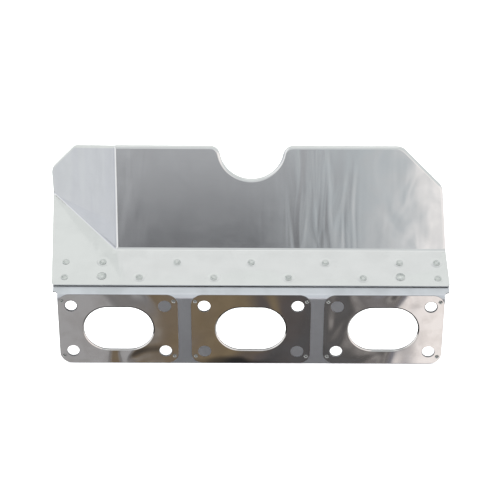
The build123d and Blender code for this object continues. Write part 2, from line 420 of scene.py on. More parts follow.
@dataclass(frozen=True)
class Stack:
    """Places of the layers across the joint face, from the head towards the manifold."""

    plate_gauge: float = 0.4
    carrier_gauge: float = 0.8

    @property
    def carrier_front(self) -> float:
        """Y of the carrier's front face."""
        return -self.plate_gauge - self.carrier_gauge

    @property
    def plate_front(self) -> float:
        """Y of the front plates' front face."""
        return self.carrier_front - self.plate_gauge

    def facing(self, y: float) -> Sheet:
        """Upright place at a Y, that faces the manifold."""
        return Sheet(Vector((0, y, 0)), Vector((1, 0, 0)), Vector((0, -1, 0)))


@dataclass(frozen=True)
class Folds:
    """Places of the flange, the strip, the panel and the wing, and how they fold."""

    bend_start: float = 24.1
    bend_radius: float = 3.6
    bend_angle: float = 74.2
    sandwich: float = 1.6
    crease: float = 41.75
    ridge_x: float = -93.7
    panel_lean: float = 10.0
    wing_turn: float = 45.5
    wing_fold: float = 72.8
    stack: Stack = Stack()

    @property
    def flange(self) -> Sheet:
        """Front face of the carrier's flange, from the apex of its bend."""
        turned = math.radians(self.bend_angle)
        apex = self.bend_start + self.bend_radius * math.tan(turned / 2)
        origin = Vector((0, self.stack.carrier_front, apex))
        return Sheet(origin, Vector((1, 0, 0)), Vector((0, -math.cos(turned), math.sin(turned))))

    @property
    def strip(self) -> Sheet:
        """Front face of the shield where it lies on the flange."""
        return self.flange.raised(self.sandwich)

    @property
    def panel(self) -> Sheet:
        """Front face of the shield above the crease."""
        lean = math.radians(self.panel_lean)
        origin = self.strip.at(0, self.crease) / MM
        return Sheet(origin, Vector((1, 0, 0)), Vector((0, -math.cos(lean), math.sin(lean))))

    @property
    def wing(self) -> Sheet:
        """Front face of the wing that falls back at the left of the ridge."""
        panel, turned = self.panel, math.radians(self.wing_turn)
        origin = panel.at(self.ridge_x, 0) / MM
        across = panel.across * math.cos(turned) + panel.normal * math.sin(turned)
        normal = panel.normal * math.cos(turned) - panel.across * math.sin(turned)
        return Sheet(origin, across, normal)

    @property
    def outer_corner(self) -> Vector:
        """Outer end of the diagonal fold between the strip and the wing, in metres."""
        along = self.strip.normal.cross(self.wing.normal).normalized()
        if along.x > 0:
            along = -along
        return (self.wing.origin + along * self.wing_fold) * MM


@dataclass(frozen=True)
class RivetRows:
    """Places of the rivets on the strip."""

    pitch: float = 51.24
    lower: float = 15.4
    upper: float = 29.7
    button: float = 16.6
    lower_steps: tuple[float, ...] = (-2.5, -1.5, -0.5, 0.5, 1.5, 2.5)
    upper_steps: tuple[float, ...] = (-2.5, -2, -1, 0, 1, 2, 2.5)
    button_steps: tuple[float, ...] = (-2, 2)

    @property
    def dished(self) -> list[tuple[float, float]]:
        """Strip places of the dished rivets, in the order of their nodes."""
        upper = [(self.pitch * step, self.upper) for step in self.upper_steps]
        return upper + [(self.pitch * step, self.lower) for step in self.lower_steps]

    @property
    def buttons(self) -> list[tuple[float, float]]:
        """Strip places of the button rivets, in the order of their nodes."""
        return [(self.pitch * step, self.button) for step in self.button_steps]


# ------------------------------------------------------------------ finishes


@dataclass(frozen=True)
class Buckle:
    """Slow waves of one size in thin sheet, whose height may change along the row."""

    size: tuple[float, float, float]
    height: float
    swirl: float = 0.6
    detail: float = 1.5
    shift: float = 0.0
    along: tuple[tuple[float, float], ...] = ()

    def bump(self, tree: bpy.types.NodeTree, place: Any, below: Any) -> Any:
        """Adds the waves to a material.

        Args:
            tree: The material's tree.
            place: Object coordinates.
            below: Normal of the waves that these lie on, or None.

        Returns:
            The waved normal.
        """
        scale = [1 / (size * MM) for size in self.size]
        drawn = {"Vector": place, "Scale": scale, "Location": [self.shift] * 3}
        stretched = add(tree, "ShaderNodeMapping", drawn).outputs["Vector"]
        shape = {"Vector": stretched, "Scale": 1.0, "Detail": self.detail, "Roughness": 0.4}
        waves = add(tree, "ShaderNodeTexNoise", {**shape, "Distortion": self.swirl})
        links = {"Height": waves.outputs["Fac"], "Distance": self.height * MM, "Strength": 1.0}
        if self.along:
            start, end = self.along[0][0], self.along[-1][0]
            axes = add(tree, "ShaderNodeSeparateXYZ", {"Vector": place}).outputs
            window = {"Value": axes["X"], "From Min": start * MM, "From Max": end * MM}
            share = add(tree, "ShaderNodeMapRange", window).outputs[0]
            shares = [((x - start) / (end - start), share_there) for x, share_there in self.along]
            links["Strength"] = stops(add(tree, "ShaderNodeValToRGB", {"Fac": share}), shares)
        if below:
            links["Normal"] = below
        return add(tree, "ShaderNodeBump", links).outputs["Normal"]


@dataclass(frozen=True)
class RolledSteel:
    """Rolled stainless sheet.

    The rolls leave a fine straight grain, and thin sheet never lies quite flat, so its
    reflections bend and flow. Handling leaves faint smudges that dull the gloss in patches.
    """

    name: str
    colour: str
    dull_colour: str
    roughness: float
    dull_roughness: float
    anisotropy: float
    grain_width: float
    grain_height: float
    buckles: tuple[Buckle, ...]
    smudge_size: float
    smudge_limits: tuple[float, float] = (0.38, 0.66)
    grain_stretch: float = 30.0

    def build(self) -> bpy.types.Material:
        """Makes the material.

        Returns:
            The finished material.
        """
        made, tree, shader = started(self.name)
        place = add(tree, "ShaderNodeTexCoord", {}).outputs["Object"]
        patches = {"Vector": place, "Scale": 1 / (self.smudge_size * MM), "Detail": 3.0}
        smudge = add(tree, "ShaderNodeTexNoise", {**patches, "Roughness": 0.55}).outputs["Fac"]
        clean, dull = self.smudge_limits
        limits = {"Value": smudge, "From Min": clean, "From Max": dull}
        eased = add(tree, "ShaderNodeMapRange", limits, interpolation_type="SMOOTHSTEP")
        spread = eased.outputs[0]
        colours = {"Factor": spread, 6: linear(self.colour), 7: linear(self.dull_colour)}
        tint = add(tree, "ShaderNodeMix", colours, data_type="RGBA").outputs[2]
        dulling = {"Value": spread, "To Min": self.roughness, "To Max": self.dull_roughness}
        gloss = add(tree, "ShaderNodeMapRange", dulling).outputs[0]
        normal = None
        for buckle in self.buckles:
            normal = buckle.bump(tree, place, normal)
        marks = {"Height": self._grain(tree, place), "Distance": self.grain_height * MM}
        lines = add(tree, "ShaderNodeBump", {**marks, "Strength": 1.0, "Normal": normal})
        tree.links.new(tint, shader.inputs["Base Color"])
        tree.links.new(gloss, shader.inputs["Roughness"])
        tree.links.new(lines.outputs["Normal"], shader.inputs["Normal"])
        shader.inputs["Metallic"].default_value = 1.0
        shader.inputs["Anisotropic"].default_value = self.anisotropy
        return made

    def _grain(self, tree: bpy.types.NodeTree, place: Any) -> Any:
        """Adds the straight marks of the rolls, along the row.

        Args:
            tree: The material's tree.
            place: Object coordinates.

        Returns:
            Height of the marks from 0 to 1.
        """
        fine = 1 / (self.grain_width * MM)
        drawn = {"Vector": place, "Scale": (fine / self.grain_stretch, fine, fine)}
        stretched = add(tree, "ShaderNodeMapping", drawn).outputs["Vector"]
        marks = {"Vector": stretched, "Scale": 1.0, "Detail": 2.0}
        return add(tree, "ShaderNodeTexNoise", marks).outputs["Fac"]


@dataclass(frozen=True)
class PressedFelt:
    """Mineral fibre felt pressed between the skins. It is matt, pale and flecked."""

    name: str = "pressed mineral fibre felt"
    colour: str = "D8D2C2"
    fleck: str = "A9A08C"
    fibre: float = 0.35
    nap: float = 0.1
    roughness: float = 0.95

    def build(self) -> bpy.types.Material:
        """Makes the material.

        Returns:
            The finished material.
        """
        made, tree, shader = started(self.name)
        place = add(tree, "ShaderNodeTexCoord", {}).outputs["Object"]
        strands = {"Vector": place, "Scale": 1 / (self.fibre * MM), "Detail": 4.0}
        noise = add(tree, "ShaderNodeTexNoise", {**strands, "Distortion": 1.2})
        fibres = noise.outputs["Fac"]
        colours = {"Factor": fibres, 6: linear(self.colour), 7: linear(self.fleck)}
        tint = add(tree, "ShaderNodeMix", colours, data_type="RGBA").outputs[2]
        raised = {"Height": fibres, "Distance": self.nap * MM}
        nap = add(tree, "ShaderNodeBump", raised).outputs[0]
        tree.links.new(tint, shader.inputs["Base Color"])
        tree.links.new(nap, shader.inputs["Normal"])
        shader.inputs["Roughness"].default_value = self.roughness
        return made


# ------------------------------------------------------------------ carrier


@dataclass
class Carrier:
    """The sheet that holds the port plates, bent back above the ports into a flange."""

    row: PortRow
    folds: Folds
    finish: RolledSteel
    cut_edge_and_shade: Any
    half_width: float = 132.2
    flange_half_width: float = 135.4
    bottom: float = -28.7
    corner: float = 8.5
    port_clearance: float = 2.2
    relief_height: float = 29.57
    relief_radius: float = 2.5
    flange_length: float = 33.78
    bend_slices: int = 9
    edge: float = 0.08
    hole_segments: int = 40

    def build(self) -> bpy.types.Object:
        """Cuts the blank, bends it and gives it its gauge.

        Returns:
            The carrier.
        """
        bm = bmesh.new()
        blank = self.folds.stack.facing(self.folds.stack.carrier_front)
        self._cut_blank(bm, blank)
        self._bend(bm, blank)
        turn_out(bm, blank.normal)
        made = piece("carrier_sheet", bm, self.finish.build())
        thicken(made, self.folds.stack.carrier_gauge, self.edge, self.cut_edge_and_shade)
        return made

    def _cut_blank(self, bm: bmesh.types.BMesh, blank: Sheet) -> None:
        """Draws the flat blank with its holes and fills it.

        Args:
            bm: Mesh that gets the blank.
            blank: Place of its front face.
        """
        wide, top = self.flange_half_width, self._developed_top
        low, notch, small = self.half_width, self.relief_height, self.relief_radius
        wire = Wire(bm, blank, -low + self.corner, self.bottom)
        wire.line((low - self.corner, self.bottom))
        wire.arc(low - self.corner, self.bottom + self.corner, 90)
        wire.line((low, notch - small)).arc(low + small, notch - small, -90)
        wire.line((wide, notch), (wide, top), (-wide, top), (-wide, notch), (-low - small, notch))
        wire.arc(-low - small, notch - small, -90)
        wire.line((-low, self.bottom + self.corner))
        wire.arc(-low + self.corner, self.bottom + self.corner, 90)
        bmesh.ops.remove_doubles(bm, verts=bm.verts, dist=MERGE)
        radius = self.row.radius + self.port_clearance
        for x in self.row.columns:
            stadium(bm, blank, x, self.row.straight, radius)
        for x, z, size in self.row.open_holes:
            ring(bm, blank, x, z, size / 2, self.hole_segments)
        bmesh.ops.triangle_fill(bm, edges=bm.edges, use_beauty=True, use_dissolve=True)

    @property
    def _arc_length(self) -> float:
        """Length of the bend along its outer face."""
        return self.folds.bend_radius * math.radians(self.folds.bend_angle)

    @property
    def _developed_top(self) -> float:
        """Height of the blank's upper edge before it is bent."""
        return self.folds.bend_start + self._arc_length + self.flange_length

    def _bend(self, bm: bmesh.types.BMesh, blank: Sheet) -> None:
        """Slices the blank across its bend, and turns what is above back over the head.

        Args:
            bm: Mesh of the flat blank.
            blank: Place of its front face.
        """
        start, length = self.folds.bend_start, self._arc_length
        for step in range(self.bend_slices + 1):
            bmesh.ops.bisect_plane(
                bm,
                geom=[*bm.verts, *bm.edges, *bm.faces],
                plane_co=blank.at(0, start + length * step / self.bend_slices),
                plane_no=(0, 0, 1),
                dist=MERGE,
            )
        centre_y = blank.origin.y + self.folds.bend_radius
        radius = self.folds.bend_radius
        for vert in bm.verts:
            past = vert.co.z / MM - start
            if past <= 0:
                continue
            turned = min(past, length) / radius
            beyond = max(past - length, 0)
            y = centre_y - radius * math.cos(turned) + beyond * math.sin(turned)
            z = start + radius * math.sin(turned) + beyond * math.cos(turned)
            vert.co = Vector((vert.co.x, y * MM, z * MM))


# ------------------------------------------------------------------ port plates


@dataclass
class PortPlates:
    """Thin plates in front of and behind the carrier, each with a sloped lip at its port."""

    row: PortRow
    stack: Stack
    finish: RolledSteel
    cut_edge_and_shade: Any
    width: float = 82.0
    bottom: float = -28.2
    front_top: float = 27.6
    rear_top: float = 23.95
    corner: float = 8.0
    bead_width: float = 1.0
    bead_drop: float = 0.35
    bead_steps: int = 5
    edge: float = 0.05
    hole_segments: int = 40
    countersink: float = 2.8
    countersink_segments: int = 24

    def build(self) -> None:
        """Makes the three front plates and the three rear plates."""
        material = self.finish.build()
        head_side = Sheet(Vector((0, 0, 0)), Vector((-1, 0, 0)), Vector((0, 1, 0)))
        front = self.stack.facing(self.stack.plate_front)
        for number, x in enumerate(self.row.columns, start=1):
            self._plate(f"front_port_plate_{number}", front, x, self.front_top, material)
            self._plate(f"rear_port_plate_{number}", head_side, -x, self.rear_top, material)

    def _plate(self, name: str, face: Sheet, x: float, top: float, material: Any) -> None:
        """Makes one plate.

        Args:
            name: Name of its CAD node.
            face: Place of its outer face.
            x: Local X of its port.
            top: Height of its upper edge.
            material: Its finish.
        """
        bm = bmesh.new()
        low, corner = self.bottom, self.corner
        left, right = x - self.width / 2, x + self.width / 2
        wire = Wire(bm, face, left + corner, low).line((right - corner, low))
        wire.arc(right - corner, low + corner, 90).line((right, top - corner))
        wire.arc(right - corner, top - corner, 90).line((left + corner, top))
        wire.arc(left + corner, top - corner, 90).line((left, low + corner))
        wire.arc(left + corner, low + corner, 90)
        bmesh.ops.remove_doubles(bm, verts=bm.verts, dist=MERGE)
        port = stadium(bm, face, x, self.row.straight, self.row.radius + self.bead_width)
        for side in (-1, 1):
            for level in (-1, 1):
                place = (x + side * self.row.bolt_x, level * self.row.bolt_z)
                ring(bm, face, *place, self.row.plate_hole / 2, self.hole_segments)
                place = (x + side * self.row.corner_x, level * self.row.corner_z)
                ring(bm, face, *place, self.countersink / 2, self.countersink_segments)
        bmesh.ops.triangle_fill(bm, edges=bm.edges, use_beauty=True, use_dissolve=True)
        self._lip(bm, face, x, port)
        turn_out(bm, face.normal)
        made = piece(name, bm, material)
        thicken(made, self.stack.plate_gauge, self.edge, self.cut_edge_and_shade)

    def _lip(
        self, bm: bmesh.types.BMesh, face: Sheet, x: float, port: list[bmesh.types.BMEdge]
    ) -> None:
        """Runs the plate on inwards at its port, down a soft slope.

        Args:
            bm: Mesh of the flat plate.
            face: Place of its outer face.
            x: Local X of its port.
            port: Edges of the opening.
        """
        edges, half = port, self.row.straight / 2
        for step in range(1, self.bead_steps + 1):
            share = step / self.bead_steps
            edges, verts = extruded(bm, edges)
            drop = self.bead_drop * smooth(share)
            radius = self.row.radius + self.bead_width * (1 - share)
            for vert in verts:
                across, up = face.local(vert.co)
                across -= x
                spine = max(-half, min(half, across))
                out = Vector((across - spine, up)).normalized() * radius
                vert.co = face.at(x + spine + out.x, out.y, -drop)


# ------------------------------------------------------------------ heat shield


@dataclass
class HeatShield:
    """Folded sandwich of two skins: the front one is rolled back round the other's edge."""

    folds: Folds
    rows: RivetRows
    front_finish: RolledSteel
    back_finish: RolledSteel
    felt: PressedFelt
    cut_edge_and_shade: Any
    gauge: float = 0.4
    free_edge: float = 8.4
    left: float = -136.5
    right: float = 136.0
    strip_cut: float = 1.6
    height: float = 75.2
    right_base: float = 135.4
    right_top: float = 131.5
    cut_width: float = 28.7
    cut_height: float = 28.7
    panel_corner: float = 8.0
    notch_radius: float = 21.8
    notch_drop: float = 2.0
    mouth_radius: float = 7.3
    shoulder: tuple[float, float] = (-44.8, 65.4)
    outer: tuple[float, float] = (-71.6, 42.6)
    wing_corner: float = 8.0
    corner_segments: int = 8
    fold_setback: float = 1.4
    fold_segments: int = 6
    rim_width: float = 2.0
    rim_radius: float = 1.9
    rim_depth: float = 2.4
    strip_edge_radius: float = 0.35
    strip_depth: float = 0.95
    blend_height: float = 8.0
    rim_steps: int = 7
    back_inset: float = 0.7
    back_depth: float = 1.2
    core_inset: float = 1.8
    core_gauge: float = 0.8
    dimple_rings: tuple[tuple[float, float], ...] = (
        (4.7, 0.0),
        (4.3, -0.02),
        (3.8, -0.08),
        (3.3, -0.15),
        (2.8, -0.18),
        (1.65, -0.18),
    )
    cell: tuple[float, float] = (5.4, 6.0)
    cell_cuts: int = 9
    edge: float = 0.06

    def build(self) -> None:
        """Makes both skins and the felt between them."""
        self._front_skin()
        felt = (self.felt.build(), Slot.FELT)
        back = (self.back_finish.build(), Slot.SHIELD_BACK)
        self._inner_layer(
            "shield_insulation_core", self.core_inset, self.gauge, self.core_gauge, *felt
        )
        self._inner_layer("shield_back_skin", self.back_inset, self.back_depth, self.gauge, *back)

    def _folded(self) -> bmesh.types.BMesh:
        """Draws the strip, the panel and the wing, joins them and rounds their folds.

        Returns:
            The shield's front face, with no rim.
        """
        bm = bmesh.new()
        strip, panel, wing = self.folds.strip, self.folds.panel, self.folds.wing
        ridge, crease, cut = self.folds.ridge_x, self.folds.crease, self.strip_cut
        corner, low = self.folds.outer_corner, self.free_edge
        strip_wire = Wire(bm, strip, self.left + cut, low)
        strip_wire.line((self.right - cut, low), (self.right, low + cut))
        strip_wire.line((self.right_base, crease), (ridge, crease))
        strip_wire.line(strip.local(corner), (self.left, low + cut)).close()
        self._panel_wire(bm, panel)
        wing_wire = Wire(bm, wing, 0, 0).line((0, self.height), self.shoulder, self.outer)
        wing_wire.line(wing.local(corner)).close()
        bmesh.ops.edgeloop_fill(bm, edges=bm.edges)
        bmesh.ops.remove_doubles(bm, verts=bm.verts, dist=JOIN)
        for face in bm.faces:
            if face.normal.dot(self._side(face).normal) < 0:
                face.normal_flip()
        self._round_corners(bm)
        inner = [e for e in bm.edges if len(e.link_faces) == 2]
        bmesh.ops.bevel(
            bm,
            geom=inner,
            offset=self.fold_setback * MM,
            offset_type="OFFSET",
            segments=self.fold_segments,
            profile=0.5,
            affect="EDGES",
            material=-1,
        )
        bm.normal_update()
        return bm

    def _side(self, face: bmesh.types.BMFace) -> Sheet:
        """The strip, panel or wing that a face is nearest to in its tilt."""
        sides = (self.folds.strip, self.folds.panel, self.folds.wing)
        return max(sides, key=lambda side: abs(face.normal.dot(side.normal)))

    def _flatten(self, bm: bmesh.types.BMesh, depth: float) -> None:
        """Sets the three large sides truly flat.

        Args:
            bm: Mesh of the folded face.
            depth: How far in mm they lie behind the shield's face.
        """
        bm.normal_update()
        for face in sorted(bm.faces, key=lambda f: f.calc_area())[-3:]:
            side = self._side(face).raised(-depth)
            for vert in face.verts:
                vert.co -= side.normal * side.height_of(vert.co) * MM
        bm.normal_update()

    def _inset(self, bm: bmesh.types.BMesh, width: float) -> None:
        """Insets the whole face from its outline.

        Args:
            bm: Mesh of the folded face.
            width: Width of the border, in mm.
        """
        bmesh.ops.inset_region(
            bm,
            faces=bm.faces,
            thickness=width * MM,
            use_boundary=True,
            use_even_offset=True,
        )
        self._flatten(bm, 0)

    def _panel_wire(self, bm: bmesh.types.BMesh, panel: Sheet) -> None:
        """Draws the panel with its round notch.

        Args:
            bm: Mesh that gets the edges.
            panel: Place of the panel.
        """
        top, centre = self.height, self.height - self.notch_drop
        small, reach = self.mouth_radius, self.notch_radius + self.mouth_radius
        down = centre - (top - small)
        side = math.sqrt(reach * reach - down * down)
        lean = math.degrees(math.asin(down / reach))
        wire = Wire(bm, panel, self.folds.ridge_x, 0)
        wire.line((self.right_base, 0), (self.right_top, top - self.cut_height))
        wire.line((self.right_top - self.cut_width, top), (side, top))
        wire.arc(side, top - small, 90 - lean).arc(0, centre, -(180 - 2 * lean))
        wire.arc(-side, top - small, 90 - lean).line((self.folds.ridge_x, top)).close()

    def _round_corners(self, bm: bmesh.types.BMesh) -> None:
        """Rounds the cut corners of the panel and the wing.

        Args:
            bm: Mesh of the joined faces.
        """
        panel, wing, top = self.folds.panel, self.folds.wing, self.height
        corners = [
            (panel.at(self.right_top, top - self.cut_height), self.panel_corner),
            (panel.at(self.right_top - self.cut_width, top), self.panel_corner),
            (wing.at(*self.shoulder), self.wing_corner),
            (wing.at(*self.outer), self.wing_corner),
        ]
        for place, radius in corners:
            vert = min(bm.verts, key=lambda v: (v.co - place).length)
            arms = [(e.other_vert(vert).co - vert.co).normalized() for e in vert.link_edges]
            turned = math.pi - arms[0].angle(arms[1])
            bmesh.ops.bevel(
                bm,
                geom=[vert],
                offset=radius * math.tan(turned / 2) * MM,
                offset_type="OFFSET",
                segments=self.corner_segments,
                profile=0.5,
                affect="VERTICES",
                material=-1,
            )

    def _share_above(self, point: Vector) -> float:
        """How far a point is along the blend from the strip's edge to the full rim, 0 to 1."""
        share = min(max(self.folds.strip.height_of(point) / self.blend_height, 0), 1)
        return smooth(share)

    def _roll_rim(self, bm: bmesh.types.BMesh) -> None:
        """Rolls the edge back into a rim, wide on the panel and narrow on the strip.

        Args:
            bm: Mesh of the folded face.
        """
        root = bm.verts.layers.float_vector.new("root")
        inner = bm.verts.layers.float_vector.new("inner")
        facing = bm.verts.layers.float_vector.new("facing")
        bm.normal_update()
        for vert in bm.verts:
            vert[root] = vert.co
            vert[facing] = vert.normal
        self._inset(bm, self.rim_width)
        rails = []
        for vert in bm.verts:
            if not vert.is_boundary:
                continue
            rail = next(e for e in vert.link_edges if not e.is_boundary)
            far = rail.other_vert(vert)
            for end in (vert, far):
                end[inner] = far.co
                end[root] = vert.co
                end[facing] = vert[facing]
            rails.append(rail)
        cuts = self.rim_steps - 1
        cut = bmesh.ops.subdivide_edges(bm, edges=rails, cuts=cuts, use_grid_fill=True)
        chain = {v for v in cut["geom_inner"] if isinstance(v, bmesh.types.BMVert)}
        chain |= {v for v in bm.verts if v.is_boundary}
        for vert in chain:
            way = vert[inner] - vert[root]
            step = round(self.rim_steps * (vert.co - vert[root]).length / way.length)
            share = self._share_above(vert[root])
            radius = self.strip_edge_radius * (1 - share) + self.rim_radius * share
            angle = math.radians(90) * min(step / (self.rim_steps - 1), 1)
            along = radius * (1 - math.cos(angle)) / self.rim_width
            depth = radius * (1 - math.sin(angle))
            vert.co = vert[root] + way * along - vert[facing] * depth * MM
        for vert in extruded(bm, [e for e in bm.edges if e.is_boundary])[1]:
            share = self._share_above(vert[root])
            radius = self.strip_edge_radius * (1 - share) + self.rim_radius * share
            depth = self.strip_depth * (1 - share) + self.rim_depth * share
            vert.co -= vert[facing] * (depth - radius) * MM

    def _punch(self, bm: bmesh.types.BMesh, sheet: Sheet) -> None:
        """Cuts the rivet holes in the strip, each in the middle of a shallow dimple.

        Args:
            bm: Mesh of the shield's face.
            sheet: Place of the strip's face in it.
        """
        wide, tall = self.cell
        points = self.rows.dished + self.rows.buttons
        columns = sorted({x + side * wide for x, _ in points for side in (-1, 1)})
        levels = [y + side * tall for y in (self.rows.lower, self.rows.upper) for side in (-1, 1)]
        cuts = [(sheet.at(x, 0), sheet.across) for x in columns]
        cuts += [(sheet.at(0, y), sheet.up) for y in levels]
        for place, normal in cuts:
            flat = [f for f in bm.faces if self._lies_on(f, sheet)]
            geom = list({*flat}.union(*(f.edges for f in flat), *(f.verts for f in flat)))
            bmesh.ops.bisect_plane(bm, geom=geom, plane_co=place, plane_no=normal, dist=MERGE)
        for x, y in points:
            self._dimple(bm, sheet, x, y)

    def _spans(self, face: bmesh.types.BMFace, sheet: Sheet, x: float, y: float) -> bool:
        """Whether a face's own rectangle on a sheet holds a place."""
        spots = [sheet.local(v.co) for v in face.verts]
        across, up = [spot[0] for spot in spots], [spot[1] for spot in spots]
        return min(across) < x < max(across) and min(up) < y < max(up)

    def _lies_on(self, face: bmesh.types.BMFace, sheet: Sheet) -> bool:
        """Whether a face lies in a sheet's plane."""
        level = abs(sheet.height_of(face.calc_center_median())) < LEVEL
        return level and face.normal.dot(sheet.normal) > ALIGNED

    def _dimple(self, bm: bmesh.types.BMesh, sheet: Sheet, x: float, y: float) -> None:
        """Swaps the cell round one rivet for rings that fall to a hole.

        Args:
            bm: Mesh of the shield's face.
            sheet: Place of the strip's face in it.
            x: Strip X of the rivet.
            y: Strip Y of the rivet.
        """
        middle = sheet.at(x, y)
        cell = self._cell(bm, sheet, x, y)
        bmesh.ops.subdivide_edges(bm, edges=list(cell.edges), cuts=self.cell_cuts)
        cell = self._cell(bm, sheet, x, y)
        edges = list(cell.edges)
        bmesh.ops.delete(bm, geom=[cell], context="FACES_ONLY")
        for radius, height in self.dimple_rings:
            edges, verts = extruded(bm, edges)
            centre = sheet.at(x, y, height)
            for vert in verts:
                away = vert.co - middle
                away -= sheet.normal * away.dot(sheet.normal)
                vert.co = centre + away.normalized() * radius * MM

    def _cell(
        self, bm: bmesh.types.BMesh, sheet: Sheet, x: float, y: float
    ) -> bmesh.types.BMFace:
        """Finds the flat face that holds a place on the strip.

        Args:
            bm: Mesh of the shield's face.
            sheet: Place of the strip's face in it.
            x: Strip X of the place.
            y: Strip Y of the place.

        Returns:
            The smallest such face.
        """
        flat = [f for f in bm.faces if self._lies_on(f, sheet) and self._spans(f, sheet, x, y)]
        return min(flat, key=lambda f: f.calc_area())

    def _front_skin(self) -> None:
        """Makes the front skin with its rolled rim."""
        bm = self._folded()
        self._roll_rim(bm)
        self._punch(bm, self.folds.strip)
        turn_out(bm, self.folds.panel.normal)
        made = piece("shield_front_skin", bm, self.front_finish.build())
        thicken(made, self.gauge, 0, self.cut_edge_and_shade)

    def _inner_layer(
        self, name: str, inset: float, depth: float, gauge: float, material: Any, slot: Slot
    ) -> None:
        """Makes a plain layer, which ends inside the front skin's rim.

        Args:
            name: Name of its CAD node.
            inset: How far it ends inside the shield's outline, in mm.
            depth: How far behind the shield's face it starts, in mm.
            gauge: Its thickness, in mm.
            material: Its finish.
            slot: Material slot of the record.
        """
        bm = self._folded()
        self._inset(bm, inset)
        outside = [f for f in bm.faces if any(e.is_boundary for e in f.edges)]
        bmesh.ops.delete(bm, geom=outside, context="FACES")
        bm.normal_update()
        shifts = {v: v.normal * depth * MM * v.calc_shell_factor() for v in bm.verts}
        for vert, shift in shifts.items():
            vert.co -= shift
        self._flatten(bm, depth)
        self._punch(bm, self.folds.strip.raised(-depth))
        turn_out(bm, self.folds.panel.normal)
        made = piece(name, bm, material)
        cut = material if slot is Slot.FELT else self.cut_edge_and_shade
        thicken(made, gauge, self.edge, cut)


# ------------------------------------------------------------------ rivets


